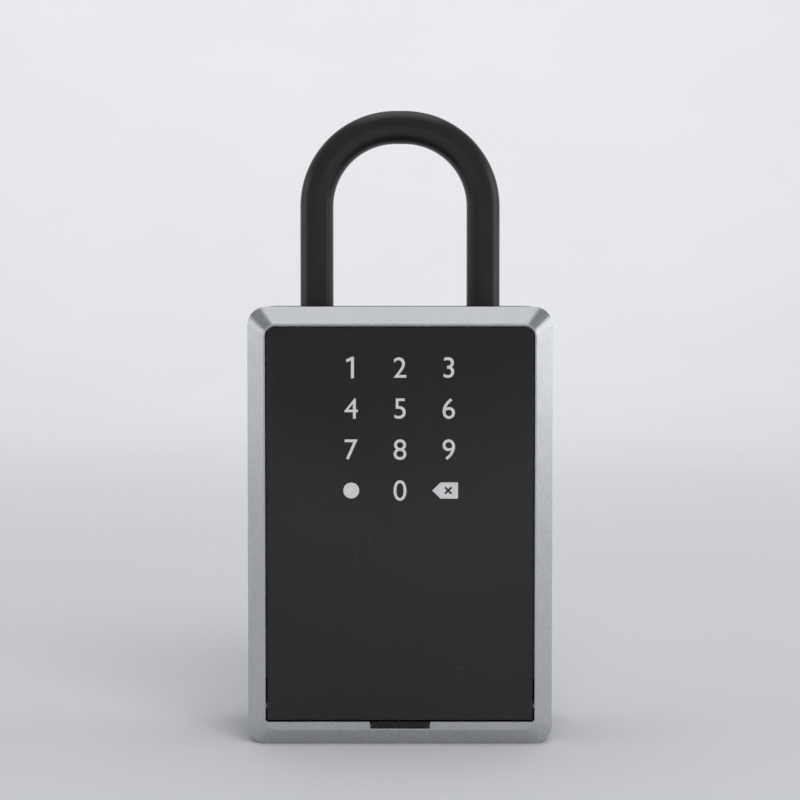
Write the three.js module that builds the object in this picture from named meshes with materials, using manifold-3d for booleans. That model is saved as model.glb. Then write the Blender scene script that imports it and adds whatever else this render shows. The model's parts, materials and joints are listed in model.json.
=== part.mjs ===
// Electronic key safe with a touch keypad, a drop-down door and a lift-off shackle.
// Millimetres. +X is to the right seen from the front, +Y goes to the back, +Z is up.
// The origin is the middle of the footprint: the safe stands on z = 0 and its front faces -Y.

import * as THREE from 'three';
import * as BufferGeometryUtils from 'three/addons/utils/BufferGeometryUtils.js';
import Module from 'manifold-3d';

const wasm = await Module();
wasm.setup();

// ---------------------------------------------------------------- driving sizes

const clearance = 0.3;          // between pieces that touch or fit
const over = 1;                 // how far a cutter runs past the face that it cuts
const smallCorner = 0.8;
const body = { width: 83, height: 119.5, depth: 54, corner: 5 };
const wall = 4;                 // sides, top and floor of the cast housing
const backWall = 3;
const padThickness = 1;         // rubber pad on the back
const padInset = 3;

const rim = { face: 5.1, sideFace: 5, bevel: 4.6, bevelDepth: 5, depth: 10, innerCorner: 2.8 };
// The sill is the bar of the rim under the door; a rubber insert fills the notch in its middle.
const sill = { height: 1.75, notchFloor: 0.1, notchHalf: 8.2, notchDepth: 2.5 };
const insert = { setback: 0.3, gap: 0.3, corner: 0.3 };
const stop = { reach: 3.3, front: 6.8, thickness: 2, topDrop: 2, footGap: 7 };
const seal = { thickness: 0.4, inset: 0.4, footGap: 0.5, footCorner: 0.5, corner: 2 };

const door = {
  recess: 0.6, panel: 1.2, adhesive: 0.4, carrier: 2.8, sideGap: 0.4, corner: 2.4, footCorner: 0.5,
};
const hinge = { setback: 3.4, rise: 3.6, pinRadius: 1.3, pinInDoor: 2.6, pinInRim: 2.1, boreGap: 0.2 };
const adhesive = { inset: 1, border: 4.5, corner: 1.6, innerCorner: 1 };
const sensor = { inset: 6.6, footGap: 10, topGap: 6.5, thickness: 1, pocket: 1.5 };
const ribbon = { half: 6, drop: 27, thickness: 0.6, sideGap: 0.5, gap: 0.4 };

const tub = {
  wall: 2, sideGap: 2.2, topGap: 4, footGap: 2, corner: 3, boss: 3.8, bossInset: 4.4, bossLift: 0.4,
};
const wallHole = { inset: 15.5, low: 26, high: 30.5, radius: 2.6 };

const shackle = {
  pitch: 47.1, bar: 4, sleeveWall: 0.7, rise: 55.2, corner: 22.3, insertion: 21.5, sleeveGap: 0.3,
};
const bush = { wall: 1, flange: 1.2, flangeHeight: 1.2, sink: 0.2, chamfer: 0.3, sleeveGap: 0.8 };
const block = {
  sideGap: 6.5, frontWall: 6, rearWall: 8, height: 18.7, sleeveDepth: 4.2, boreGap: 0.4, corner: 2,
};
const blockScrew = { x: 9, inset: 3.2, grip: 2.4 };
const lockPlate = {
  thickness: 2, rim: 2.4, waist: 2.6, slotGap: 0.3, holeGap: 0.5, endWall: 1.5, grooveHeight: 3.2,
  aboveEnd: 4.6,
};
const knob = { width: 12, height: 2.7, thickness: 2, doorGap: 0.8, shoulder: 2 };
const lug = {
  radius: 3.1, depth: 7, low: 17, high: 25, overlap: 1.5, pocket: 4, skin: 1.5, bite: 3.6, grip: 3.2,
};
const lining = { inset: 2, topGap: 3, thickness: 1.2, corner: 2, holeMargin: 1.6, hookMargin: 0.6 };
const hook = {
  height: 20.8, half: 4.4, topGap: 32, plate: 1.6, corner: 2, wire: 1.3,
  path: [[1, 11.4], [4, 10.8], [7.4, 8.8], [8.6, 12], [8.8, 15.4]],   // away from the wall, then upwards
};

const gear = {
  teeth: 12, module: 0.8, topGap: 13, thickness: 3.5,
  above: 0.55, below: 0.95,     // tooth height outside and inside the pitch circle
  root: 0.27, tip: 0.11,        // half widths as shares of the pitch
  shaft: 1.5, shaftLength: 3.4,
};
const gearbox = { half: 8, below: 13, above: 7, frontGap: 0.4, boreGap: 0.3, boreDepth: 3.8 };
const motor = { radius: 5, length: 13.2 };
const strike = { thickness: 1, half: 11, lip: 0.3, sideGap: 0.2 };
const bolt = {
  headHeight: 8, proud: 1, headLength: 18, armHeight: 3, neck: 4, step: 2, teeth: 6, window: 0.4,
};
const cell = {
  radius: 5.25, length: 44.5, gap: 1.5, count: 4, endGap: 0.9, frontWall: 1.5, rearGap: 0.6,
  edge: 0.4, shoulder: 1.6, shoulderStep: 0.6, button: 1.9, buttonHeight: 1,
};
const holder = { wall: 1.2, footGap: 0.9, side: 1.4, boreGap: 0.35 };
const contact = { overlap: 3, front: 0.3, rear: 3.4, thickness: 0.4, endGap: 0.15 };
const lid = { side: 1.6, foot: 5.6, top: 2.9, thickness: 1.5, corner: 1.5 };
const rail = { foot: 8, top: 4, width: 2, lip: 1.5, thickness: 1, root: 0.5 };
const grip = { half: 9, foot: 6, pitch: 2.4, height: 1, proud: 0.5, count: 4 };
const board = { sideGap: 5, below: 25, above: 4, frontGap: 0.5, thickness: 1.4 };
const chip = { left: -22, right: -13, foot: 3, top: 12, height: 1.2 };
const buzzer = { x: 19, up: 7, radius: 4.5, height: 3 };
const screw = {
  shank: 1.3, head: 2.4, headHeight: 1.6, tip: 0.6, recess: 0.7, slotHalf: 0.35, slotReach: 1.6,
  threadGap: 0.15, holeGap: 0.3, sides: 20,
};

// ---------------------------------------------------------------- worked out from them

const front = -body.depth / 2;
const back = body.depth / 2;
const halfWidth = body.width / 2;
const rimRear = front + rim.depth;
const opening = {
  half: halfWidth - rim.sideFace,
  bottom: rim.face + sill.height,
  top: body.height - rim.face,
};
const stopFront = front + stop.front;
const stopRear = stopFront + stop.thickness;

const doorFront = front + door.recess;
const panelRear = doorFront + door.panel;
const adhesiveFront = panelRear + clearance;
const adhesiveRear = adhesiveFront + door.adhesive;
const carrierFront = adhesiveRear + clearance;
const carrierRear = carrierFront + door.carrier;
const doorHalf = opening.half - door.sideGap;
const doorTop = opening.top - door.sideGap;
const doorFoot = opening.bottom + clearance;
const pivot = { y: doorFront + hinge.setback, z: doorFoot + hinge.rise };
// How far the door's front lower edge is from its hinge.
const swing = Math.hypot(hinge.setback, hinge.rise);

const tubFront = carrierRear + clearance;
const tubDepth = board.thickness + cell.frontWall + 2 * cell.radius + cell.rearGap + tub.wall;
const tubRear = tubFront + tubDepth;
const tubHalf = opening.half - stop.reach - tub.sideGap;
const tubBottom = pivot.z + tub.footGap;
const tubTop = doorTop - tub.topGap;
const housingFront = rimRear + clearance;
const housingBack = back - padThickness - clearance;
const innerHalf = halfWidth - wall;
const innerTop = body.height - wall;
const sleeveRadius = shackle.bar + shackle.sleeveWall;
const bushBore = sleeveRadius + clearance;
const bushRadius = bushBore + bush.wall;
const bushTop = body.height - bush.sink;
const flangeSeat = bushTop - bush.flangeHeight;
const legX = shackle.pitch / 2;
const legEnd = body.height - shackle.insertion;
const blockTop = innerTop - clearance;
const blockBottom = blockTop - block.height;
const blockFront = tubRear + knob.doorGap + knob.thickness + clearance;
const shackleY = blockFront + shackle.bar + block.frontWall;
const blockBack = shackleY + shackle.bar + block.rearWall;
const blockHalf = innerHalf - block.sideGap;
const lockTravel = shackle.bar + 1;
const plateBottom = legEnd + lockPlate.aboveEnd;

const boltFront = stopRear + clearance + strike.thickness + clearance;
const boltRear = boltFront + gear.thickness;
const boltReach = tubHalf + bolt.proud;
const gearZ = tubTop - gear.topGap;
const pitchRadius = gear.teeth * gear.module / 2;

// ---------------------------------------------------------------- solids

function solidOf(geometry) {
  const plain = geometry.clone();
  plain.deleteAttribute('normal');
  plain.deleteAttribute('uv');
  const merged = BufferGeometryUtils.mergeVertices(plain, 1e-4);
  return new wasm.Manifold(new wasm.Mesh({
    numProp: 3,
    vertProperties: new Float32Array(merged.attributes.position.array),
    triVerts: new Uint32Array(merged.index.array),
  }));
}

function box(x0, x1, y0, y1, z0, z1) {
  const geometry = new THREE.BoxGeometry(x1 - x0, y1 - y0, z1 - z0);
  geometry.translate((x0 + x1) / 2, (y0 + y1) / 2, (z0 + z1) / 2);
  return solidOf(geometry);
}

function cylinderAlong(axis, radius, from, to, a, b, sides = 16) {
  const geometry = new THREE.CylinderGeometry(radius, radius, to - from, sides);
  const middle = (from + to) / 2;
  if (axis === 'x') geometry.rotateZ(Math.PI / 2).translate(middle, a, b);
  if (axis === 'y') geometry.translate(a, middle, b);
  if (axis === 'z') geometry.rotateX(Math.PI / 2).translate(a, b, middle);
  return solidOf(geometry);
}

function extrude(shape, depth) {
  return new THREE.ExtrudeGeometry(shape, { depth, bevelEnabled: false, curveSegments: 6, steps: 1 });
}

// A shape drawn in X and Z, made thick from y0 to y1.
function plateXZ(shape, y0, y1) {
  return solidOf(extrude(shape, y1 - y0).rotateX(Math.PI / 2).translate(0, y1, 0));
}

function outline(points) {
  return new THREE.Shape(points.map(([a, b]) => new THREE.Vector2(a, b)));
}

function roundedPoints(x0, x1, z0, z1, radii, segments = 5) {
  const [lowLeft, lowRight, highRight, highLeft] = radii;
  const corners = [
    [x0 + lowLeft, z0 + lowLeft, lowLeft, Math.PI],
    [x1 - lowRight, z0 + lowRight, lowRight, 1.5 * Math.PI],
    [x1 - highRight, z1 - highRight, highRight, 0],
    [x0 + highLeft, z1 - highLeft, highLeft, 0.5 * Math.PI],
  ];
  return corners.flatMap(([x, z, radius, start]) => {
    const steps = Array.from({ length: segments + 1 }, (_, i) => start + (i / segments) * Math.PI / 2);
    return steps.map((angle) => [x + radius * Math.cos(angle), z + radius * Math.sin(angle)]);
  });
}

function roundedPlate(x0, x1, z0, z1, y0, y1, radii) {
  const four = Array.isArray(radii) ? radii : [radii, radii, radii, radii];
  return plateXZ(outline(roundedPoints(x0, x1, z0, z1, four)), y0, y1);
}

// A solid through outlines of equal point count, one for each y.
function loftAlongY(sections) {
  const count = sections[0].points.length;
  const positions = sections.flatMap(({ y, points }) => points.flatMap(([x, z]) => [x, y, z]));
  const cap = THREE.ShapeUtils.triangulateShape(sections[0].points.map(([x, z]) => new THREE.Vector2(x,
    z)), []);
  const last = (sections.length - 1) * count;
  const index = cap.flatMap(([a, b, c]) => [a, b, c]);
  index.push(...cap.flatMap(([a, b, c]) => [last + a, last + c, last + b]));
  for (let ring = 0; ring < sections.length - 1; ring++) {
    for (let i = 0; i < count; i++) {
      const a = ring * count + i;
      const b = ring * count + (i + 1) % count;
      index.push(a, b + count, b, a, a + count, b + count);
    }
  }
  const geometry = new THREE.BufferGeometry();
  geometry.setAttribute('position', new THREE.Float32BufferAttribute(positions, 3));
  geometry.setIndex(index);
  return solidOf(geometry);
}

// The span from near to far on one side of the middle, lowest X first.
function spanX(side, near, far) {
  return side > 0 ? [near, far] : [-far, -near];
}

function lathe(profile, segments = 24) {
  return solidOf(new THREE.LatheGeometry(profile.map(([r, h]) => new THREE.Vector2(r, h)), segments));
}

// ---------------------------------------------------------------- meshes

const finishes = {
  castBody: { color: 0x2d2d30, roughness: 0.55, metalness: 0.6 },
  satinSilver: { color: 0xb2b3b8, roughness: 0.35, metalness: 0.9 },
  glossBlack: { color: 0x2e2e30, roughness: 0.12, metalness: 0.0 },
  blackPlastic: { color: 0x222224, roughness: 0.6, metalness: 0.0 },
  vinyl: { color: 0x2d2c2e, roughness: 0.5, metalness: 0.0 },
  steel: { color: 0xc4c6c8, roughness: 0.3, metalness: 1.0 },
  rubber: { color: 0x1b1b1c, roughness: 0.9, metalness: 0.0 },
  brass: { color: 0xb8974a, roughness: 0.35, metalness: 1.0 },
  circuitBoard: { color: 0x1d5a34, roughness: 0.5, metalness: 0.0 },
  battery: { color: 0x555a60, roughness: 0.35, metalness: 0.5 },
};

function addMesh(group, name, solid, finish, position = [0, 0, 0], tilt = 0) {
  const data = solid.getMesh();
  const geometry = new THREE.BufferGeometry();
  geometry.setAttribute('position', new THREE.BufferAttribute(Float32Array.from(data.vertProperties), 3));
  geometry.setIndex(new THREE.BufferAttribute(Uint32Array.from(data.triVerts), 1));
  geometry.computeVertexNormals();
  const mesh = new THREE.Mesh(geometry, new THREE.MeshStandardMaterial(finishes[finish]));
  mesh.name = name;
  mesh.position.set(...position);
  mesh.rotation.x = tilt;
  group.add(mesh);
}

// A screw along Y whose head seat is at y = 0, with its shank towards -Y.
function screwSolid(length) {
  const { shank, head, headHeight, slotHalf, slotReach } = screw;
  const profile = [[0, -length], [shank, -length + screw.tip], [shank, 0], [head, 0], [head, headHeight],
    [0, headHeight]];
  const cross = headHeight - screw.recess;
  const driver = box(-slotReach, slotReach, cross, headHeight + over, -slotHalf, slotHalf)
    .add(box(-slotHalf, slotHalf, cross, headHeight + over, -slotReach, slotReach));
  return lathe(profile, screw.sides).subtract(driver);
}

// ---------------------------------------------------------------- housing

const blockScrews = [-blockScrew.x, blockScrew.x];
const blockScrewY = blockBack - blockScrew.inset;
const wallHoles = [-1, 1].flatMap((side) => [wall + wallHole.low, innerTop - wallHole.high]
  .map((z) => [side * (innerHalf - wallHole.inset), z]));
const rimScrews = [-1, 1].flatMap((side) => [pivot.z + lug.low, gearZ - lug.high]
  .map((z) => [side * (opening.half - lug.radius + lug.overlap), z]));

function housingShell() {
  let shell = roundedPlate(-halfWidth, halfWidth, 0, body.height, housingFront, housingBack, body.corner);
  shell = shell.subtract(roundedPlate(-innerHalf, innerHalf, wall, innerTop,
    housingFront - over, housingBack - backWall, body.corner - wall / 2));
  for (const [x, z] of rimScrews) {
    const side = Math.sign(x);
    const web = spanX(side, Math.abs(x), innerHalf + over);
    shell = shell.add(cylinderAlong('y', lug.radius, housingFront, housingFront + lug.depth, x, z))
      .add(box(...web, housingFront, housingFront + lug.depth, z - lug.radius, z + lug.radius))
      .subtract(cylinderAlong('y', screw.shank + screw.holeGap, housingFront - over,
        housingFront + lug.depth + over, x, z))
      .subtract(cylinderAlong('y', screw.head + clearance, housingFront + lug.depth,
        housingFront + lug.depth + lug.pocket, x, z));
  }
  for (const [x, z] of wallHoles) {
    shell = shell.subtract(cylinderAlong('y', wallHole.radius, housingBack - backWall - over,
      housingBack + over, x, z));
  }
  for (const side of [-1, 1]) {
    shell = shell.subtract(cylinderAlong('z', bushRadius + clearance, innerTop - over, body.height + over,
      side * legX, shackleY, 24));
    shell = shell.subtract(cylinderAlong('z', bushRadius + bush.flange + clearance,
      flangeSeat - clearance, body.height + over, side * legX, shackleY, 28));
  }
  for (const x of blockScrews) {
    shell = shell.subtract(cylinderAlong('z', screw.shank + clearance, innerTop - over,
      innerTop + blockScrew.grip + clearance, x, blockScrewY));
  }
  return shell;
}

// The front lower edge of the door turns through this round trough behind the sill.
function swingTrough() {
  return cylinderAlong('x', swing + clearance, -opening.half, opening.half, pivot.y, pivot.z, 48);
}

function rimFrame() {
  const outer = (inset, corner) => roundedPoints(-halfWidth + inset, halfWidth - inset, inset,
    body.height - inset, [corner, corner, corner, corner]);
  const crestCorner = rim.innerCorner + rim.face - rim.bevel;
  let frame = loftAlongY([
    { y: front, points: outer(rim.bevel, crestCorner) },
    { y: front + rim.bevelDepth, points: outer(0, body.corner) },
    { y: rimRear, points: outer(0, body.corner) },
  ]);
  const { half, bottom, top } = opening;
  frame = frame.subtract(roundedPlate(-half, half, bottom, top, front - over, stopFront,
    [smallCorner, smallCorner, rim.innerCorner, rim.innerCorner]));
  frame = frame.subtract(box(-sill.notchHalf, sill.notchHalf, front - over, front + sill.notchDepth,
    rim.face - sill.notchFloor, bottom + over));
  frame = frame.subtract(swingTrough());
  // Behind the stop the opening is wider than the door's tub, and the stop ends above the hinge.
  frame = frame.subtract(roundedPlate(-half + stop.reach, half - stop.reach, bottom, top - stop.topDrop,
    stopFront - over, rimRear + over, smallCorner));
  frame = frame.subtract(box(-half, half, stopFront - over, stopRear + over, bottom,
    pivot.z + stop.footGap));
  frame = frame.subtract(box(-half, half, stopRear, rimRear + over, bottom, top));
  for (const side of [-1, 1]) {
    const span = spanX(side, opening.half - over, opening.half + hinge.pinInRim + clearance);
    frame = frame.subtract(cylinderAlong('x', hinge.pinRadius + hinge.boreGap, ...span, pivot.y, pivot.z));
  }
  return frame;
}

const housing = new THREE.Group();
addMesh(housing, 'housing_shell', housingShell(), 'castBody');

// The rim carries four threaded lugs behind its stop; the screws go in from inside the housing.
function rimWithLugs() {
  let frame = rimFrame();
  for (const [x, z] of rimScrews) {
    const span = spanX(Math.sign(x), Math.abs(x) - lug.radius, halfWidth - lug.skin);
    frame = frame.add(roundedPlate(...span, z - lug.radius, z + lug.radius, stopFront, rimRear,
      smallCorner));
    frame = frame.subtract(cylinderAlong('y', screw.shank + screw.threadGap, rimRear - lug.bite,
      rimRear + over, x, z));
  }
  return frame;
}
addMesh(housing, 'front_rim', rimWithLugs(), 'satinSilver');

const insertHalf = sill.notchHalf - insert.gap;
const jumpContactCover = roundedPlate(-insertHalf, insertHalf, rim.face - sill.notchFloor + insert.gap,
  opening.bottom, front + insert.setback, front + sill.notchDepth - insert.gap, insert.corner)
  .subtract(swingTrough());
addMesh(housing, 'jump_contact_cover', jumpContactCover, 'rubber');

rimScrews.forEach(([x, z], i) => {
  const seat = housingFront + lug.depth + clearance;
  addMesh(housing, `rim_screw_${i + 1}`, screwSolid(seat - rimRear + lug.grip), 'steel', [x, seat, z]);
});

function rearPad() {
  let pad = roundedPlate(-halfWidth + padInset, halfWidth - padInset, padInset, body.height - padInset,
    back - padThickness, back, body.corner - padInset);
  for (const [x, z] of wallHoles) {
    pad = pad.subtract(cylinderAlong('y', wallHole.radius, back - padThickness - over, back + over, x, z));
  }
  return pad;
}
addMesh(housing, 'rear_pad', rearPad(), 'rubber');

const hookBottom = innerTop - hook.topGap - hook.height;
const innerBack = housingBack - backWall - clearance;

function keyLining() {
  const half = innerHalf - lining.inset;
  const margin = lining.hookMargin;
  const liningFront = innerBack - lining.thickness;
  let sheet = roundedPlate(-half, half, wall + lining.inset, blockBottom - lining.topGap, liningFront,
    innerBack, lining.corner);
  for (const [x, z] of wallHoles) {
    sheet = sheet.subtract(cylinderAlong('y', wallHole.radius + lining.holeMargin, liningFront - over,
      innerBack + over, x, z));
  }
  return sheet.subtract(box(-hook.half - margin, hook.half + margin, liningFront - over, innerBack + over,
    hookBottom - margin, hookBottom + hook.height + margin));
}
addMesh(housing, 'key_lining', keyLining(), 'rubber');

function keyHook() {
  const plate = roundedPlate(-hook.half, hook.half, hookBottom, hookBottom + hook.height,
    innerBack - hook.plate, innerBack, hook.corner);
  const path = new THREE.CatmullRomCurve3(hook.path
    .map(([out, up]) => new THREE.Vector3(0, innerBack - out, hookBottom + up)));
  const section = new THREE.Shape().absarc(0, 0, hook.wire, 0, 2 * Math.PI);
  const wire = new THREE.ExtrudeGeometry(section, { steps: 12, curveSegments: 5, extrudePath: path });
  return plate.add(solidOf(wire));
}
addMesh(housing, 'key_hook', keyHook(), 'steel');

const sides = [['left', -1], ['right', 1]];
for (const [name, side] of sides) {
  const span = spanX(side, opening.half - stop.reach + strike.lip, opening.half - strike.sideGap);
  const plate = box(...span, stopRear + clearance, stopRear + clearance + strike.thickness,
    gearZ - strike.half, gearZ + strike.half);
  addMesh(housing, `${name}_strike_plate`, plate, 'steel');
}

function doorSeal() {
  const rear = stopFront - clearance;
  const sheet = roundedPlate(-opening.half + seal.inset, opening.half - seal.inset,
    pivot.z + stop.footGap + seal.footGap, opening.top - seal.inset, rear - seal.thickness, rear,
    [seal.footCorner, seal.footCorner, seal.corner, seal.corner]);
  return sheet.subtract(box(-opening.half + stop.reach, opening.half - stop.reach,
    rear - seal.thickness - over, rear + over, 0, opening.top - stop.topDrop));
}
addMesh(housing, 'door_seal', doorSeal(), 'rubber');

const bushProfile = [
  [bushBore, innerTop], [bushRadius, innerTop], [bushRadius, flangeSeat],
  [bushRadius + bush.flange, flangeSeat], [bushRadius + bush.flange, bushTop - bush.chamfer],
  [bushRadius + bush.flange - bush.chamfer, bushTop], [bushBore + bush.chamfer, bushTop],
  [bushBore, bushTop - bush.chamfer], [bushBore, innerTop],
];
for (const [name, side] of sides) {
  const ring = solidOf(new THREE.LatheGeometry(
    bushProfile.map(([r, h]) => new THREE.Vector2(r, h)), 28).rotateX(Math.PI / 2));
  addMesh(housing, `${name}_shackle_bush`, ring, 'blackPlastic', [side * legX, shackleY, 0]);
}

const plateHalfDepth = shackle.bar + lockPlate.rim;

function shackleBlock() {
  let guide = roundedPlate(-blockHalf, blockHalf, blockBottom, blockTop, blockFront, blockBack,
    block.corner);
  for (const side of [-1, 1]) {
    guide = guide.subtract(cylinderAlong('z', shackle.bar + block.boreGap, blockBottom - over,
      blockTop + over, side * legX, shackleY, 20));
    guide = guide.subtract(cylinderAlong('z', bushBore, blockTop - block.sleeveDepth, blockTop + over,
      side * legX, shackleY, 20));
  }
  const channel = box(-blockHalf - over, blockHalf + over, blockFront - over,
    shackleY + plateHalfDepth + clearance, plateBottom - clearance,
    plateBottom + lockPlate.thickness + clearance);
  guide = guide.subtract(channel);
  for (const x of blockScrews) {
    guide = guide.subtract(cylinderAlong('z', screw.shank + clearance, blockBottom - over, blockTop + over,
      x, blockScrewY));
  }
  return guide;
}

const waistSlot = lockPlate.waist + lockPlate.slotGap;

function shackleLockPlate() {
  const z0 = plateBottom;
  const z1 = plateBottom + lockPlate.thickness;
  const left = -legX - lockTravel - waistSlot - lockPlate.endWall;
  const right = legX + shackle.bar + lockPlate.endWall;
  const half = knob.width / 2 + knob.shoulder;
  let plate = box(left, right, shackleY - plateHalfDepth, shackleY + plateHalfDepth, z0, z1);
  plate = plate.add(box(-half, half, blockFront - knob.thickness - clearance, shackleY, z0, z1));
  for (const side of [-1, 1]) {
    const x = side * legX;
    plate = plate.subtract(cylinderAlong('z', shackle.bar + lockPlate.holeGap, z0 - over, z1 + over, x,
      shackleY));
    plate = plate.subtract(box(x - lockTravel, x, shackleY - waistSlot, shackleY + waistSlot,
      z0 - over, z1 + over));
    plate = plate.subtract(cylinderAlong('z', waistSlot, z0 - over, z1 + over, x - lockTravel, shackleY));
  }
  return plate;
}

addMesh(housing, 'shackle_block', shackleBlock(), 'castBody');
blockScrews.forEach((x, i) => {
  const seat = blockBottom - clearance;
  const length = innerTop + blockScrew.grip - seat;
  addMesh(housing, `block_screw_${i + 1}`, screwSolid(length), 'steel', [x, blockScrewY, seat], -Math.PI / 2);
});

// ---------------------------------------------------------------- shackle and its lock plate

const shackleLock = new THREE.Group();
addMesh(shackleLock, 'shackle_lock_plate', shackleLockPlate(), 'steel');
const knobRear = blockFront - clearance;
const releaseKnob = roundedPlate(-knob.width / 2, knob.width / 2, plateBottom - clearance - knob.height,
  plateBottom - clearance, knobRear - knob.thickness, knobRear, smallCorner);
addMesh(shackleLock, 'shackle_release_knob', releaseKnob, 'blackPlastic');

class ShacklePath extends THREE.CurvePath {
  constructor(legBottom) {
    super();
    const top = body.height + shackle.rise - sleeveRadius;
    const turn = top - shackle.corner;
    const flat = legX - shackle.corner;
    const point = (x, z) => new THREE.Vector3(x, 0, z);
    const corner = (x, start) => {
      const arc = new THREE.Curve();
      arc.getPoint = (t, target = new THREE.Vector3()) => {
        const angle = start - t * Math.PI / 2;
        return target.set(x + shackle.corner * Math.cos(angle), 0, turn + shackle.corner * Math.sin(angle));
      };
      return arc;
    };
    this.add(new THREE.LineCurve3(point(-legX, legBottom), point(-legX, turn)));
    this.add(corner(-flat, Math.PI));
    this.add(new THREE.LineCurve3(point(-flat, top), point(flat, top)));
    this.add(corner(flat, Math.PI / 2));
    this.add(new THREE.LineCurve3(point(legX, turn), point(legX, legBottom)));
  }
}

// A round bar along the shackle's path, built ring by ring so that the straights stay coarse.
function shackleBar(radius, legBottom, sides) {
  const path = new ShacklePath(legBottom);
  const stations = path.curves.flatMap((curve) => {
    const steps = curve instanceof THREE.LineCurve3 ? [0] : [0, 1, 2, 3, 4, 5, 6, 7, 8].map((i) => i / 9);
    return steps.map((t) => ({ at: curve.getPoint(t), along: curve.getTangent(t) }));
  });
  const end = path.curves.at(-1);
  stations.push({ at: end.getPoint(1), along: end.getTangent(1) });
  const positions = [];
  const index = [];
  stations.forEach(({ at, along }, ring) => {
    const across = new THREE.Vector3(0, 1, 0);
    const inward = new THREE.Vector3().crossVectors(across, along).normalize();
    for (let i = 0; i < sides; i++) {
      const angle = (2 * Math.PI * i) / sides;
      const rimPoint = at.clone().addScaledVector(across, radius * Math.cos(angle))
        .addScaledVector(inward, radius * Math.sin(angle));
      positions.push(rimPoint.x, rimPoint.y, rimPoint.z);
      if (ring > 0) {
        const a = (ring - 1) * sides + i;
        const b = (ring - 1) * sides + (i + 1) % sides;
        index.push(a, a + sides, b, b, a + sides, b + sides);
      }
    }
  });
  const last = (stations.length - 1) * sides;
  for (let i = 1; i < sides - 1; i++) {
    index.push(0, i, i + 1);
    index.push(last, last + i + 1, last + i);
  }
  const geometry = new THREE.BufferGeometry();
  geometry.setAttribute('position', new THREE.Float32BufferAttribute(positions, 3));
  geometry.setIndex(index);
  return solidOf(geometry);
}

const shackleGroup = new THREE.Group();
shackleGroup.position.set(0, shackleY, 0);
const sleeveEnd = blockTop - block.sleeveDepth + bush.sleeveGap;
let bar = shackleBar(shackle.bar, legEnd, 16);
for (const side of [-1, 1]) {
  const low = plateBottom + lockPlate.thickness / 2 - lockPlate.grooveHeight / 2;
  const groove = cylinderAlong('z', shackle.bar + over, low, low + lockPlate.grooveHeight, side * legX, 0)
    .subtract(cylinderAlong('z', lockPlate.waist, low - over,
      low + lockPlate.grooveHeight + over, side * legX, 0));
  bar = bar.subtract(groove);
}
addMesh(shackleGroup, 'shackle_bar', bar, 'steel');
const sleeve = shackleBar(sleeveRadius, sleeveEnd, 20)
  .subtract(shackleBar(shackle.bar + shackle.sleeveGap, sleeveEnd - over, 16));
addMesh(shackleGroup, 'shackle_sleeve', sleeve, 'vinyl');

// ---------------------------------------------------------------- door

const doorGroup = new THREE.Group();

const doorCorners = [door.footCorner, door.footCorner, door.corner, door.corner];
const tubScrews = [-1, 1].flatMap((side) => [tubBottom + tub.boss + tub.bossLift, tubTop - tub.boss]
  .map((z) => [side * (tubHalf - tub.bossInset), z]));
const ribbonZ = gearZ - ribbon.drop;
const sensorHalf = doorHalf - sensor.inset;
const sensorBottom = pivot.z + sensor.footGap;
const sensorTop = doorTop - sensor.topGap;

function doorCarrier() {
  let plate = roundedPlate(-doorHalf, doorHalf, doorFoot, doorTop, carrierFront, carrierRear, doorCorners);
  plate = plate.subtract(box(-sensorHalf - clearance, sensorHalf + clearance, carrierFront - over,
    carrierFront + sensor.pocket, sensorBottom - clearance, sensorTop + clearance));
  plate = plate.subtract(box(-ribbon.half - ribbon.sideGap, ribbon.half + ribbon.sideGap, carrierFront,
    carrierRear + over, ribbonZ - ribbon.gap, ribbonZ + ribbon.thickness + ribbon.gap));
  for (const side of [-1, 1]) {
    const span = spanX(side, doorHalf - hinge.pinInDoor - clearance, doorHalf + over);
    plate = plate.subtract(cylinderAlong('x', hinge.pinRadius + hinge.boreGap / 2, ...span, pivot.y,
      pivot.z));
  }
  for (const [x, z] of tubScrews) {
    plate = plate.subtract(cylinderAlong('y', screw.shank + screw.threadGap, carrierFront + screw.tip,
      carrierRear + over, x, z));
  }
  return plate;
}
addMesh(doorGroup, 'door_carrier', doorCarrier(), 'blackPlastic');

addMesh(doorGroup, 'touch_panel', roundedPlate(-doorHalf, doorHalf, doorFoot, doorTop,
  doorFront, panelRear, doorCorners), 'glossBlack');

function adhesiveFrame(half, z0, z1) {
  const { border } = adhesive;
  return roundedPlate(-half, half, z0, z1, adhesiveFront, adhesiveRear, adhesive.corner)
    .subtract(roundedPlate(-half + border, half - border, z0 + border, z1 - border,
      adhesiveFront - over, adhesiveRear + over, adhesive.innerCorner));
}
addMesh(doorGroup, 'panel_adhesive', adhesiveFrame(doorHalf - adhesive.inset, doorFoot + adhesive.inset,
  doorTop - adhesive.inset), 'blackPlastic');

const sensorRear = carrierFront + sensor.pocket - clearance;
addMesh(doorGroup, 'touch_sensor_board', box(-sensorHalf, sensorHalf, sensorRear - sensor.thickness,
  sensorRear, sensorBottom, sensorTop), 'circuitBoard');
addMesh(doorGroup, 'sensor_ribbon', box(-ribbon.half, ribbon.half, sensorRear + clearance,
  carrierRear + clearance, ribbonZ, ribbonZ + ribbon.thickness), 'blackPlastic');

for (const [name, side] of sides) {
  const span = spanX(side, doorHalf - hinge.pinInDoor, opening.half + hinge.pinInRim);
  addMesh(doorGroup, `${name}_hinge_pin`, cylinderAlong('x', hinge.pinRadius, ...span, pivot.y, pivot.z, 20),
    'steel');
}

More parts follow.
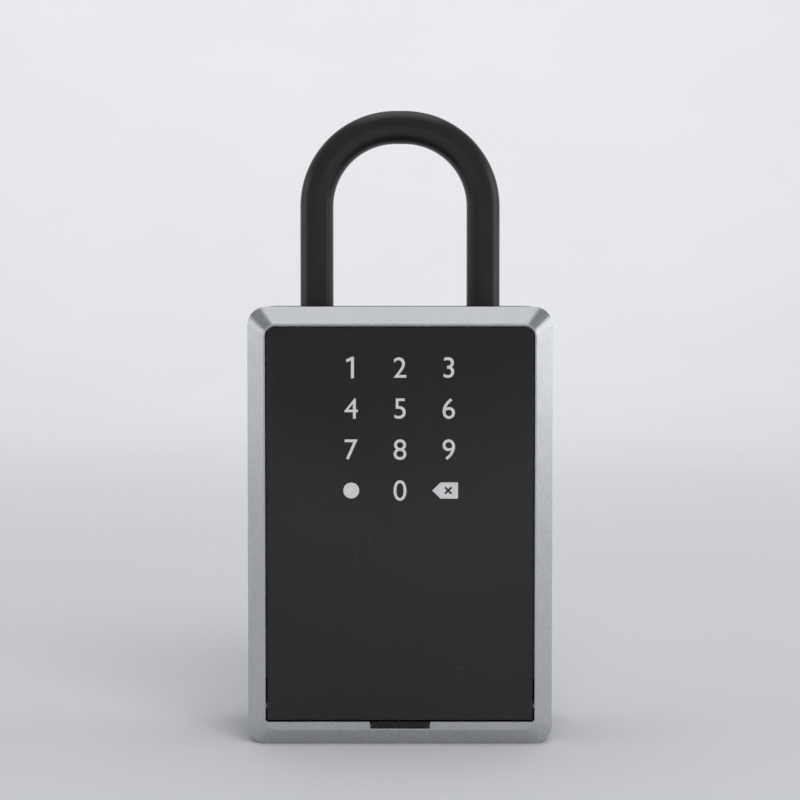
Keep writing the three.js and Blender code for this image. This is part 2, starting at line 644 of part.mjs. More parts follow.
// ---- rear tub with its battery bay
const cellPitch = 2 * cell.radius + cell.gap;
const holderBottom = tubBottom + 2 * tub.boss + holder.footGap;
const cellBottom = holderBottom + holder.wall + cell.endGap;
const bay = { half: cellPitch * cell.count / 2 + 1, bottom: cellBottom, top: cellBottom + cell.length };
const cover = { half: bay.half + lid.side, bottom: bay.bottom - lid.foot, top: bay.top + lid.top };
const coverFront = tubRear + clearance;
const coverRear = coverFront + lid.thickness;
const boltWindow = bolt.headHeight / 2 + bolt.window;

function doorTub() {
  let shell = roundedPlate(-tubHalf, tubHalf, tubBottom, tubTop, tubFront, tubRear, tub.corner);
  shell = shell.subtract(roundedPlate(-tubHalf + tub.wall, tubHalf - tub.wall, tubBottom + tub.wall,
    tubTop - tub.wall, tubFront - over, tubRear - tub.wall, tub.corner - tub.wall));
  for (const [x, z] of tubScrews) {
    shell = shell.add(cylinderAlong('y', tub.boss, tubFront, tubRear, x, z));
  }
  shell = shell.intersect(box(-tubHalf, tubHalf, tubFront, tubRear, tubBottom, tubTop));
  for (const [x, z] of tubScrews) {
    shell = shell.subtract(cylinderAlong('y', screw.shank + screw.holeGap, tubFront - over, tubRear + over,
      x, z))
      .subtract(cylinderAlong('y', screw.head + clearance, tubRear - screw.headHeight - 2 * clearance,
        tubRear + over, x, z));
  }
  shell = shell.subtract(box(-bay.half, bay.half, tubRear - tub.wall - over, tubRear + over,
    bay.bottom, bay.top));
  for (const side of [-1, 1]) {
    const near = cover.half + clearance;
    const z0 = cover.bottom + rail.foot;
    const z1 = cover.top - rail.top;
    const lipFront = coverRear + clearance;
    shell = shell.add(box(...spanX(side, near, near + rail.width), tubRear - rail.root,
      lipFront + rail.thickness, z0, z1));
    shell = shell.add(box(...spanX(side, near - rail.lip, near + rail.width), lipFront,
      lipFront + rail.thickness, z0, z1));
  }
  return shell.subtract(box(-tubHalf - over, tubHalf + over, boltFront - clearance, boltRear + clearance,
    gearZ - boltWindow, gearZ + boltWindow));
}
addMesh(doorGroup, 'door_tub', doorTub(), 'blackPlastic');

tubScrews.forEach(([x, z], i) => {
  const seat = tubRear - screw.headHeight - clearance;
  addMesh(doorGroup, `tub_screw_${i + 1}`, screwSolid(seat - carrierRear + over), 'steel', [x, seat, z]);
});

const coverGroup = new THREE.Group();
function batteryCover() {
  let plate = roundedPlate(-cover.half, cover.half, cover.bottom, cover.top, coverFront, coverRear,
    lid.corner);
  for (let i = 0; i < grip.count; i++) {
    const z = cover.bottom + grip.foot + i * grip.pitch;
    plate = plate.add(box(-grip.half, grip.half, coverRear - clearance, coverRear + grip.proud, z,
      z + grip.height));
  }
  return plate;
}
addMesh(coverGroup, 'battery_cover', batteryCover(), 'blackPlastic');

const holderInner = { bottom: cellBottom - cell.endGap, top: bay.top + cell.endGap };
const cellY = tubRear - tub.wall - cell.radius - cell.rearGap;
const holderFront = cellY - cell.radius - cell.frontWall;

const cellX = Array.from({ length: cell.count }, (_, i) => (i - (cell.count - 1) / 2) * cellPitch);

function batteryHolder() {
  const half = cellPitch * cell.count / 2 + holder.side;
  let frame = box(-half, half, holderFront, cellY, holderInner.bottom - holder.wall,
    holderInner.top + holder.wall);
  for (const x of cellX) {
    frame = frame.subtract(cylinderAlong('z', cell.radius + holder.boreGap, holderInner.bottom,
      holderInner.top, x, cellY));
  }
  return frame;
}
addMesh(doorGroup, 'battery_holder', batteryHolder(), 'blackPlastic');

function batteryCell() {
  const { radius, length, edge } = cell;
  const neck = length - cell.buttonHeight;
  const profile = [[0, 0], [radius - edge, 0], [radius, edge], [radius, length - cell.shoulder],
    [radius - cell.shoulderStep, neck], [cell.button, neck], [cell.button, length], [0, length]];
  return solidOf(new THREE.LatheGeometry(profile.map(([r, h]) => new THREE.Vector2(r, h)), 16)
    .rotateX(Math.PI / 2));
}
cellX.forEach((x, i) => {
  addMesh(doorGroup, `battery_${i + 1}`, batteryCell(), 'battery', [x, cellY, cellBottom]);
});

const contactHalf = cellPitch / 2 + contact.overlap;
const contactLevels = [
  ['lower', holderInner.bottom + contact.endGap],
  ['upper', holderInner.top - contact.endGap - contact.thickness],
];
for (const [level, z] of contactLevels) {
  for (const [name, side] of sides) {
    const strap = box(side * cellPitch - contactHalf, side * cellPitch + contactHalf, cellY + contact.front,
      cellY + contact.rear, z, z + contact.thickness);
    addMesh(doorGroup, `${level}_${name}_contact`, strap, 'brass');
  }
}

const boardFront = tubFront + board.frontGap;
const boardRear = boardFront + board.thickness;
const boardHalf = tubHalf - board.sideGap;
const boardBottom = gearZ - board.below;
addMesh(doorGroup, 'control_board', box(-boardHalf, boardHalf, boardFront, boardRear, boardBottom,
  gearZ + board.above), 'circuitBoard');
const chipFront = boardRear + clearance;
addMesh(doorGroup, 'control_chip', box(chip.left, chip.right, chipFront, chipFront + chip.height,
  boardBottom + chip.foot, boardBottom + chip.top), 'blackPlastic');
addMesh(doorGroup, 'buzzer', cylinderAlong('y', buzzer.radius, chipFront, chipFront + buzzer.height,
  buzzer.x, boardBottom + buzzer.up), 'blackPlastic');

// ---- bolt drive: a pinion between two racks pushes both bolts out together
function pinion() {
  const outer = pitchRadius + gear.above;
  const inner = pitchRadius - gear.below;
  const pitchAngle = (2 * Math.PI) / gear.teeth;
  const points = [];
  for (let i = 0; i < gear.teeth; i++) {
    const centre = Math.PI / 2 + i * pitchAngle;
    for (const [share, radius] of [[-gear.root, inner], [-gear.tip, outer], [gear.tip, outer], [gear.root,
      inner]]) {
      const angle = centre + share * pitchAngle;
      points.push([radius * Math.cos(angle), gearZ + radius * Math.sin(angle)]);
    }
  }
  return plateXZ(outline(points), boltFront, boltRear)
    .add(cylinderAlong('y', gear.shaft, boltRear - over, boltRear + gear.shaftLength, 0, gearZ));
}

// The left bolt; with turn = -1 it is turned half round about the pinion's axis and is the right one.
function rackBolt(turn) {
  const pitch = Math.PI * gear.module;
  const armBottom = pitchRadius + gear.below;
  const armTop = armBottom + bolt.armHeight;
  const at = ([x, up]) => [turn * x, gearZ + turn * up];
  const piece = (x0, x1, up0, up1) => {
    const corners = [[x0, up0], [x1, up0], [x1, up1], [x0, up1]];
    return plateXZ(outline(corners.map(at)), boltFront, boltRear);
  };
  const heel = -boltReach + bolt.headLength;
  const half = bolt.headHeight / 2;
  const head = roundedPoints(-boltReach, heel, -half, half, Array(4).fill(smallCorner));
  let solid = plateXZ(outline(head.map(at)), boltFront, boltRear)
    .add(piece(heel - bolt.neck, heel, 0, armTop))
    .add(piece(heel - bolt.step, (bolt.teeth + 1) / 2 * pitch, armBottom, armTop));
  for (let i = 0; i < bolt.teeth; i++) {
    const x = (i + 0.5 - bolt.teeth / 2) * pitch;
    const root = gear.root * pitch;
    const tip = gear.tip * pitch;
    const tooth = [[x - root, armBottom + clearance], [x - tip, pitchRadius - gear.above],
      [x + tip, pitchRadius - gear.above], [x + root, armBottom + clearance]];
    solid = solid.add(plateXZ(outline(tooth.map(at)), boltFront, boltRear));
  }
  return solid;
}
const leftBoltGroup = new THREE.Group();
addMesh(leftBoltGroup, 'left_bolt', rackBolt(1), 'steel');
const rightBoltGroup = new THREE.Group();
addMesh(rightBoltGroup, 'right_bolt', rackBolt(-1), 'steel');
const pinionGroup = new THREE.Group();
addMesh(pinionGroup, 'drive_pinion', pinion(), 'brass');

const gearboxFront = boltRear + gearbox.frontGap;
const gearboxRear = tubRear - tub.wall - clearance;
const gearboxCase = box(-gearbox.half, gearbox.half, gearboxFront, gearboxRear,
  gearZ - gearbox.below, gearZ + gearbox.above)
  .subtract(cylinderAlong('y', gear.shaft + gearbox.boreGap, gearboxFront - over,
    boltRear + gearbox.boreDepth, 0, gearZ, 20));
addMesh(doorGroup, 'gearbox', gearboxCase, 'blackPlastic');
const motorTop = gearZ - gearbox.below - clearance;
addMesh(doorGroup, 'drive_motor', cylinderAlong('z', motor.radius, motorTop - motor.length, motorTop, 0,
  gearboxRear - motor.radius, 20), 'steel');

// ---------------------------------------------------------------- the whole safe

const keySafe = new THREE.Group();
doorGroup.add(leftBoltGroup, rightBoltGroup, pinionGroup, coverGroup);
keySafe.add(housing, doorGroup, shackleLock, shackleGroup);
keySafe.updateMatrixWorld(true);

export default keySafe;
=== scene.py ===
"""Looks of the electronic key safe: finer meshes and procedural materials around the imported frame.

Lengths are in metres, in the frame's own axes: +X right, +Y back, +Z up, the keypad faces -Y.
"""

import json
import math

import bmesh
import bpy
from mathutils import Matrix, Vector


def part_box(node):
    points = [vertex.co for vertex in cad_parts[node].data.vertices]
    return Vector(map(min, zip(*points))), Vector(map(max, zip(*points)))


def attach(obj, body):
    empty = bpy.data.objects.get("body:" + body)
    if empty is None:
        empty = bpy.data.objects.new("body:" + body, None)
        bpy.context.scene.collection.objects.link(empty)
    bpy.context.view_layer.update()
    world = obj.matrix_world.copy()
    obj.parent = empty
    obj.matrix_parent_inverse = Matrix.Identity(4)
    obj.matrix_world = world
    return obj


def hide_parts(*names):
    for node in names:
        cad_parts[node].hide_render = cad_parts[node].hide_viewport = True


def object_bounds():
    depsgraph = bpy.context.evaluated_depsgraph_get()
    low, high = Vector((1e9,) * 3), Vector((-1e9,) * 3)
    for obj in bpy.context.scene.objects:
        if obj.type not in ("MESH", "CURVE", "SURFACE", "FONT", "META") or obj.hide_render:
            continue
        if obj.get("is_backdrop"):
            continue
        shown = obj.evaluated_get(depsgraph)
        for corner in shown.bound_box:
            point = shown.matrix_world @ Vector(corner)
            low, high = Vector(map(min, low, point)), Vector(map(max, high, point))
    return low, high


MM = 0.001
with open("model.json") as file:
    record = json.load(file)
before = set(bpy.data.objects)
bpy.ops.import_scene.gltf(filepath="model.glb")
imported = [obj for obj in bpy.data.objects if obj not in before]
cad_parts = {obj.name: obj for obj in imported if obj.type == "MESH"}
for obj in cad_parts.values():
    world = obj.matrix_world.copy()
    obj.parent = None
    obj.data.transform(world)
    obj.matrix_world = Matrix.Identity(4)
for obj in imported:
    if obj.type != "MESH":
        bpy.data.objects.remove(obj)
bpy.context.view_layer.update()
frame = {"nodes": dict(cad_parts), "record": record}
nodes = frame["nodes"]

SLOT_OF = {part["node"]: part["material_slot"] for part in frame["record"]["subparts"]}


# ---------------------------------------------------------------- material helpers

def new_material(name, color, roughness, metallic=0.0, **sockets):
    """A Principled material; returns the material and its shader node."""
    material = bpy.data.materials.new(name)
    material.use_nodes = True
    shader = material.node_tree.nodes["Principled BSDF"]
    shader.inputs["Base Color"].default_value = (*color, 1.0)
    shader.inputs["Roughness"].default_value = roughness
    shader.inputs["Metallic"].default_value = metallic
    for socket, value in sockets.items():
        shader.inputs[socket.replace("_", " ").title().replace("Ior", "IOR")].default_value = value
    return material, shader


def add_node(material, kind, **inputs):
    node = material.node_tree.nodes.new(kind)
    for socket, value in inputs.items():
        node.inputs[socket.replace("_", " ").title()].default_value = value
    return node


def link(material, source, target):
    material.node_tree.links.new(source, target)


def coordinates(material, stretch=(1.0, 1.0, 1.0)):
    """Object coordinates in metres, stretched for grain that runs one way."""
    texture = add_node(material, "ShaderNodeTexCoord")
    mapping = add_node(material, "ShaderNodeMapping", scale=stretch)
    link(material, texture.outputs["Object"], mapping.inputs["Vector"])
    return mapping.outputs["Vector"]


def noise(material, vector, scale, detail=3.0, roughness=0.55):
    node = add_node(material, "ShaderNodeTexNoise", scale=scale, detail=detail, roughness=roughness)
    link(material, vector, node.inputs["Vector"])
    return node.outputs["Fac"]


def spread(material, value, low, high, start=0.3, end=0.7):
    """Maps a texture's middle range onto low..high."""
    node = add_node(material, "ShaderNodeMapRange")
    for socket, number in (("From Min", start), ("From Max", end), ("To Min", low), ("To Max", high)):
        node.inputs[socket].default_value = number
    link(material, value, node.inputs["Value"])
    return node.outputs["Result"]


def vary_color(material, shader, factor, first, second):
    """The base colour runs from first to second as factor runs from 0 to 1."""
    node = material.node_tree.nodes.new("ShaderNodeMix")
    node.data_type = "RGBA"
    node.inputs["A"].default_value = (*first, 1.0)
    node.inputs["B"].default_value = (*second, 1.0)
    link(material, factor, node.inputs["Factor"])
    link(material, node.outputs["Result"], shader.inputs["Base Color"])


def vary_roughness(material, shader, texture, low, high):
    """The roughness follows a texture between low and high."""
    link(material, spread(material, texture, low, high), shader.inputs["Roughness"])


def add_bump(material, shader, height, strength, distance, normal=None):
    bump = add_node(material, "ShaderNodeBump", strength=strength, distance=distance)
    link(material, height, bump.inputs["Height"])
    if normal is not None:
        link(material, normal, bump.inputs["Normal"])
    link(material, bump.outputs["Normal"], shader.inputs["Normal"])
    return bump.outputs["Normal"]


# ---------------------------------------------------------------- materials

def powder_coat():
    material, shader = new_material("powder_coat", (0.03, 0.03, 0.033), 0.5, coat_weight=0.15,
                                    coat_roughness=0.4)
    vector = coordinates(material)
    cloud = noise(material, vector, 60.0, 4.0)
    vary_color(material, shader, spread(material, cloud, 0.0, 1.0),
               (0.027, 0.027, 0.029), (0.033, 0.033, 0.0355))
    vary_roughness(material, shader, noise(material, vector, 240.0), 0.42, 0.6)
    grain = noise(material, vector, 2600.0, 2.0)
    add_bump(material, shader, grain, 0.35, 0.06 * MM)
    return material


def satin_silver():
    material, shader = new_material("satin_silver", (0.49, 0.5, 0.52), 0.27, metallic=0.85)
    vector = coordinates(material)
    cloud = spread(material, noise(material, vector, 45.0, 5.0), 0.0, 1.0)
    vary_color(material, shader, cloud, (0.48, 0.49, 0.51), (0.505, 0.512, 0.527))
    vary_roughness(material, shader, noise(material, vector, 320.0, 4.0), 0.24, 0.3)
    grain = noise(material, vector, 3200.0, 2.0)
    waves = noise(material, vector, 70.0, 2.0)
    first = add_bump(material, shader, waves, 0.05, 0.12 * MM)
    add_bump(material, shader, grain, 0.08, 0.03 * MM, first)
    return material


def panel_black():
    material, shader = new_material("panel_black", (0.015, 0.015, 0.0156), 0.2, coat_weight=0.12,
                                    coat_roughness=0.1, specular_ior_level=0.28)
    vector = coordinates(material)
    smudges = noise(material, vector, 38.0, 6.0, 0.65)
    vary_roughness(material, shader, smudges, 0.17, 0.3)
    dust = noise(material, vector, 1100.0, 2.0)
    specks = spread(material, dust, 0.0, 1.0, 0.66, 0.85)
    vary_color(material, shader, specks, (0.0145, 0.0145, 0.0152), (0.02, 0.02, 0.0205))
    add_bump(material, shader, noise(material, vector, 25.0, 1.0), 0.05, 0.1 * MM)
    return material


def moulded_plastic():
    material, shader = new_material("moulded_plastic", (0.016, 0.016, 0.017), 0.5, specular_ior_level=0.4)
    vector = coordinates(material)
    cells = add_node(material, "ShaderNodeTexVoronoi", scale=1500.0)
    link(material, vector, cells.inputs["Vector"])
    vary_roughness(material, shader, noise(material, vector, 130.0, 4.0), 0.42, 0.6)
    vary_color(material, shader, spread(material, noise(material, vector, 55.0), 0.0, 1.0),
               (0.014, 0.014, 0.015), (0.021, 0.021, 0.022))
    add_bump(material, shader, cells.outputs["Distance"], 0.3, 0.05 * MM)
    return material


def vinyl_sleeve():
    material, shader = new_material("vinyl_sleeve", (0.0125, 0.0118, 0.0122), 0.36, specular_ior_level=0.25,
                                    coat_weight=0.25, coat_roughness=0.14)
    vector = coordinates(material)
    length_wise = coordinates(material, (1.0, 1.0, 0.12))
    vary_roughness(material, shader, noise(material, vector, 160.0, 4.0), 0.32, 0.44)
    vary_color(material, shader, spread(material, noise(material, vector, 70.0), 0.0, 1.0),
               (0.0115, 0.0108, 0.0112), (0.0155, 0.0145, 0.015))
    first = add_bump(material, shader, noise(material, length_wise, 420.0, 2.0), 0.2, 0.06 * MM)
    add_bump(material, shader, noise(material, vector, 2200.0, 1.0), 0.2, 0.03 * MM, first)
    return material


def plated_steel():
    material, shader = new_material("plated_steel", (0.56, 0.565, 0.57), 0.3, metallic=1.0)
    vector = coordinates(material)
    brushed = coordinates(material, (1.0, 1.0, 12.0))
    vary_color(material, shader, spread(material, noise(material, vector, 90.0, 4.0), 0.0, 1.0),
               (0.5, 0.51, 0.53), (0.62, 0.61, 0.58))
    vary_roughness(material, shader, noise(material, brushed, 350.0, 3.0), 0.22, 0.4)
    add_bump(material, shader, noise(material, brushed, 700.0, 2.0), 0.2, 0.03 * MM)
    return material


def soft_rubber():
    material, shader = new_material("soft_rubber", (0.013, 0.013, 0.0135), 0.82, specular_ior_level=0.3)
    vector = coordinates(material)
    vary_roughness(material, shader, noise(material, vector, 200.0, 4.0), 0.74, 0.92)
    vary_color(material, shader, spread(material, noise(material, vector, 80.0, 5.0), 0.0, 1.0),
               (0.015, 0.015, 0.0155), (0.02, 0.02, 0.0197))
    add_bump(material, shader, noise(material, vector, 1800.0, 3.0), 0.5, 0.08 * MM)
    return material


def lining_foam():
    """Fine closed-cell foam sheet, a little paler than the casting behind it."""
    material, shader = new_material("lining_foam", (0.05, 0.05, 0.052), 0.9, specular_ior_level=0.15)
    vector = coordinates(material)
    cells = add_node(material, "ShaderNodeTexVoronoi", scale=1300.0)
    link(material, vector, cells.inputs["Vector"])
    vary_color(material, shader, spread(material, cells.outputs["Distance"], 0.0, 1.0, 0.1, 0.7),
               (0.04, 0.04, 0.042), (0.06, 0.06, 0.062))
    vary_roughness(material, shader, noise(material, vector, 300.0), 0.82, 0.96)
    add_bump(material, shader, cells.outputs["Distance"], 0.6, 0.12 * MM)
    return material


def machined_brass():
    material, shader = new_material("machined_brass", (0.68, 0.47, 0.17), 0.3, metallic=1.0)
    vector = coordinates(material)
    vary_color(material, shader, spread(material, noise(material, vector, 300.0, 4.0), 0.0, 1.0),
               (0.6, 0.4, 0.14), (0.74, 0.53, 0.21))
    vary_roughness(material, shader, noise(material, vector, 900.0), 0.24, 0.4)
    return material


def solder_mask():
    """Green board with paler copper tracks under the mask."""
    material, shader = new_material("solder_mask", (0.01, 0.11, 0.04), 0.35)
    vector = coordinates(material)
    tracks = add_node(material, "ShaderNodeTexVoronoi", scale=260.0)
    tracks.distance = "MANHATTAN"
    tracks.feature = "F2"
    link(material, vector, tracks.inputs["Vector"])
    lines = spread(material, tracks.outputs["Distance"], 0.0, 1.0, 0.62, 0.68)
    vary_color(material, shader, lines, (0.008, 0.1, 0.035), (0.02, 0.2, 0.07))
    add_bump(material, shader, lines, 0.4, 0.04 * MM)
    return material


def cell_wrap():
    """Printed film: a copper-coloured shoulder over a dark can."""
    material, shader = new_material("cell_wrap", (0.03, 0.035, 0.045), 0.28, metallic=0.5)
    low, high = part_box("battery_1")
    texture = add_node(material, "ShaderNodeTexCoord")
    split = add_node(material, "ShaderNodeSeparateXYZ")
    link(material, texture.outputs["Object"], split.inputs["Vector"])
    shoulder = high.z - 0.3 * (high.z - low.z)
    band = spread(material, split.outputs["Z"], 0.0, 1.0, shoulder, shoulder + 0.2 * MM)
    vary_color(material, shader, band, (0.028, 0.03, 0.036), (0.5, 0.22, 0.08))
    vary_roughness(material, shader, noise(material, coordinates(material), 300.0), 0.22, 0.36)
    return material


def printed_ink():
    material, shader = new_material("printed_ink", (0.6, 0.6, 0.6), 0.55, specular_ior_level=0.2)
    vector = coordinates(material)
    vary_color(material, shader, spread(material, noise(material, vector, 1500.0), 0.0, 1.0),
               (0.56, 0.56, 0.57), (0.66, 0.66, 0.66))
    vary_roughness(material, shader, noise(material, vector, 2500.0), 0.4, 0.6)
    return material


MATERIALS = {
    "cast_body": powder_coat(),
    "satin_silver": satin_silver(),
    "gloss_black": panel_black(),
    "black_plastic": moulded_plastic(),
    "vinyl": vinyl_sleeve(),
    "steel": plated_steel(),
    "rubber": soft_rubber(),
    "brass": machined_brass(),
    "circuit_board": solder_mask(),
    "battery_wrap": cell_wrap(),
}
INK = printed_ink()


# ---------------------------------------------------------------- mesh helpers

def set_material(piece, material):
    piece.data.materials.clear()
    piece.data.materials.append(material)


def shade_by_angle(piece, degrees):
    """Smooth shading with the sharper edges kept."""
    mesh = piece.data
    mesh.shade_smooth()
    mesh.set_sharp_from_angle(angle=math.radians(degrees))


def finish_piece(piece, body, slot, material=None, replaces=()):
    set_material(piece, material or MATERIALS[slot])
    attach(piece, body)
    if replaces:
        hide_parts(*replaces)


def mesh_object(name, vertices, faces):
    mesh = bpy.data.meshes.new(name)
    mesh.from_pydata([tuple(v) for v in vertices], [], faces)
    mesh.validate()
    piece = bpy.data.objects.new(name, mesh)
    bpy.context.scene.collection.objects.link(piece)
    return piece


def outward(piece):
    shape = bmesh.new()
    shape.from_mesh(piece.data)
    bmesh.ops.recalc_face_normals(shape, faces=shape.faces)
    shape.to_mesh(piece.data)
    shape.free()
    return piece


def skin(name, rings, closed_rings=False, caps=True):
    """A mesh through rings of equal point count; closed_rings joins the last ring to the first."""
    count = len(rings[0])
    vertices = [point for ring in rings for point in ring]
    faces = []
    pairs = len(rings) if closed_rings else len(rings) - 1
    for k in range(pairs):
        start, following = k * count, ((k + 1) % len(rings)) * count
        for i in range(count):
            j = (i + 1) % count
            faces.append((start + i, start + j, following + j, following + i))
    if caps and not closed_rings:
        faces.append(tuple(range(count))[::-1])
        faces.append(tuple((len(rings) - 1) * count + i for i in range(count)))
    return outward(mesh_object(name, vertices, faces))


def rounded_outline(x0, x1, z0, z1, radii, steps=12):
    """Points round a rectangle in X and Z; radii go low left, low right, high right, high left."""
    corners = [
        (x0 + radii[0], z0 + radii[0], radii[0], math.pi),
        (x1 - radii[1], z0 + radii[1], radii[1], 1.5 * math.pi),
        (x1 - radii[2], z1 - radii[2], radii[2], 0.0),
        (x0 + radii[3], z1 - radii[3], radii[3], 0.5 * math.pi),
    ]
    points = []
    for x, z, radius, start in corners:
        for i in range(steps + 1):
            angle = start + 0.5 * math.pi * i / steps
            points.append((x + radius * math.cos(angle), z + radius * math.sin(angle)))
    return points


def arc(center, radius, start, end, steps):
    """Points of an arc in the plane, by angle in degrees."""
    return [(center[0] + radius * math.cos(math.radians(start + (end - start) * i / steps)),
             center[1] + radius * math.sin(math.radians(start + (end - start) * i / steps)))
            for i in range(steps + 1)]


def refine(node, width, angle=35.0):
    """Gives a CAD node merged faces and softly broken edges by modifiers; its vertices stay as packed."""
    piece = nodes[node]
    weld = piece.modifiers.new("weld", "WELD")
    weld.merge_threshold = 1e-6
    flat = piece.modifiers.new("flat_faces", "DECIMATE")
    flat.decimate_type = "DISSOLVE"
    flat.angle_limit = math.radians(1.0)
    edge = piece.modifiers.new("broken_edges", "BEVEL")
    edge.width = width
    edge.segments = 2
    edge.limit_method = "ANGLE"
    edge.angle_limit = math.radians(angle)
    edge.use_clamp_overlap = True
    normals = piece.modifiers.new("normals", "WEIGHTED_NORMAL")
    normals.keep_sharp = True
    for polygon in piece.data.polygons:
        polygon.use_smooth = True


# ---------------------------------------------------------------- carried-over CAD nodes

for node_name, cad_object in nodes.items():
    set_material(cad_object, MATERIALS[SLOT_OF[node_name]])
set_material(nodes["key_lining"], lining_foam())


# ---------------------------------------------------------------- shackle

def shackle_sleeve():
    """A smooth bent tube round the steel bar, with its two ends rounded."""
    low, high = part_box("shackle_sleeve")
    radius = (high.y - low.y) / 2
    center_y = (high.y + low.y) / 2
    leg_x = high.x - radius
    corner = 22.3 * MM
    bore = 4.3 * MM
    end_rounding, end_length = 0.35 * MM, 0.6 * MM
    top = high.z - radius
    turn = top - corner
    flat = leg_x - corner
    sides = 40
    path = [((-leg_x, low.z), 90.0), ((-leg_x, low.z + end_length), 90.0)]
    path += [((-leg_x, low.z + (turn - low.z) * i / 8), 90.0) for i in range(1, 8)]
    path += [(point, 90.0 - 90.0 * i / 24) for i, point in enumerate(arc((-flat, turn), corner, 180, 90, 24))]
    path += [(point, 0.0 - 90.0 * i / 24) for i, point in enumerate(arc((flat, turn), corner, 90, 0, 24))]
    path += [((leg_x, turn - (turn - low.z) * i / 8), -90.0) for i in range(1, 8)]
    path += [((leg_x, low.z + end_length), -90.0), ((leg_x, low.z), -90.0)]
    outer_rings, inner_rings = [], []
    for index, ((x, z), heading) in enumerate(path):
        across = Vector((math.sin(math.radians(heading)), 0.0, -math.cos(math.radians(heading))))
        cut_back = end_rounding if index in (0, len(path) - 1) else 0.0
        for rings, size in ((outer_rings, radius - cut_back), (inner_rings, bore)):
            rings.append([Vector((x, center_y, z)) + size * math.cos(2 * math.pi * i / sides) * across
                          + Vector((0.0, size * math.sin(2 * math.pi * i / sides), 0.0))
                          for i in range(sides)])
    piece = skin("vinyl_shackle_sleeve", outer_rings + inner_rings[::-1], closed_rings=True)
    shade_by_angle(piece, 50)
    finish_piece(piece, "shackle", "vinyl", replaces=("shackle_sleeve",))


shackle_sleeve()


# ---------------------------------------------------------------- touch panel and its print

def touch_panel():
    """The panel with finely rounded corners and a softly ground front edge."""
    low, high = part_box("touch_panel")
    foot, corner, ground = 0.5 * MM, 2.4 * MM, 0.22 * MM
    layers = [(0.0, high.y)]
    for angle in (0, 30, 60, 90):
        turn = math.radians(angle)
        layers.append((ground * (1 - math.cos(turn)), low.y + ground * (1 - math.sin(turn))))
    rings = []
    for inset, y in layers:
        points = rounded_outline(low.x + inset, high.x - inset, low.z + inset, high.z - inset,
                                 (foot - inset, foot - inset, corner - inset, corner - inset))
        rings.append([Vector((x, y, z)) for x, z in points])
    piece = skin("glass_touch_panel", rings)
    shade_by_angle(piece, 35)
    finish_piece(piece, "door", "gloss_black", replaces=("touch_panel",))


touch_panel()
PANEL_LOW, PANEL_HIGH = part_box("touch_panel")
PANEL_FRONT = PANEL_LOW.y
INK_THICKNESS = 0.05 * MM
KEY_PITCH = (13.2 * MM, 11.1 * MM)
FIRST_ROW = PANEL_HIGH.z - 10.9 * MM
DIGIT_HEIGHT = 5.8 * MM
FONT_DIGIT_SHARE = 0.73   # height of the built-in font's digits as a share of its size


def ink_piece(piece):
    finish_piece(piece, "door", "gloss_black", material=INK)


def standing_print(name, curve, x, z):
    """The filled, slightly thick shape of a flat curve, stood up on the panel with its middle at x, z."""
    curve.extrude = INK_THICKNESS
    source = bpy.data.objects.new(f"{name}_outline", curve)
    bpy.context.scene.collection.objects.link(source)
    bpy.context.view_layer.update()
    mesh = bpy.data.meshes.new_from_object(source.evaluated_get(bpy.context.evaluated_depsgraph_get()))
    bpy.data.objects.remove(source)
    low, high = (Vector([pick(v.co[k] for v in mesh.vertices) for k in range(3)]) for pick in (min, max))
    mesh.transform(Matrix.Translation(-(low + high) / 2))
    mesh.transform(Matrix.Rotation(math.radians(90), 4, "X"))
    mesh.transform(Matrix.Translation((x, PANEL_FRONT, z)))
    piece = bpy.data.objects.new(name, mesh)
    bpy.context.scene.collection.objects.link(piece)
    shape = bmesh.new()
    shape.from_mesh(mesh)
    bmesh.ops.remove_doubles(shape, verts=shape.verts, dist=1e-7)
    shape.to_mesh(mesh)
    shape.free()
    ink_piece(piece)


def printed_digit(character, x, z):
    text = bpy.data.curves.new(f"digit_{character}", "FONT")
    text.body = character
    text.size = DIGIT_HEIGHT / FONT_DIGIT_SHARE
    text.resolution_u = 6
    standing_print(f"digit_{character}", text, x, z)


def flat_outline(name, points):
    """A thin closed piece from one outline in X and Z."""
    layers = (PANEL_FRONT - INK_THICKNESS, PANEL_FRONT + INK_THICKNESS)
    return skin(name, [[Vector((x, y, z)) for x, z in points] for y in layers])


def printed_one(x, z):
    """The figure one as a stem with a flag, which the built-in font draws as a bare stroke."""
    half = DIGIT_HEIGHT / 2
    stem, flag, reach = 0.8 * MM, 0.75 * MM, 1.35 * MM
    right = 0.75 * MM
    left = right - stem
    points = [(right, -half), (right, half), (left + 0.15 * MM, half), (left - reach, half - flag),
              (left - reach + 0.15 * MM, half - 2 * flag), (left, half - 1.25 * flag), (left, -half)]
    ink_piece(flat_outline("digit_1", [(x + px, z + pz) for px, pz in points]))


def printed_dot(x, z):
    radius, steps = 2.15 * MM, 48
    angles = [2 * math.pi * i / steps for i in range(steps)]
    ink_piece(flat_outline("key_dot", [(x + radius * math.cos(a), z + radius * math.sin(a)) for a in angles]))


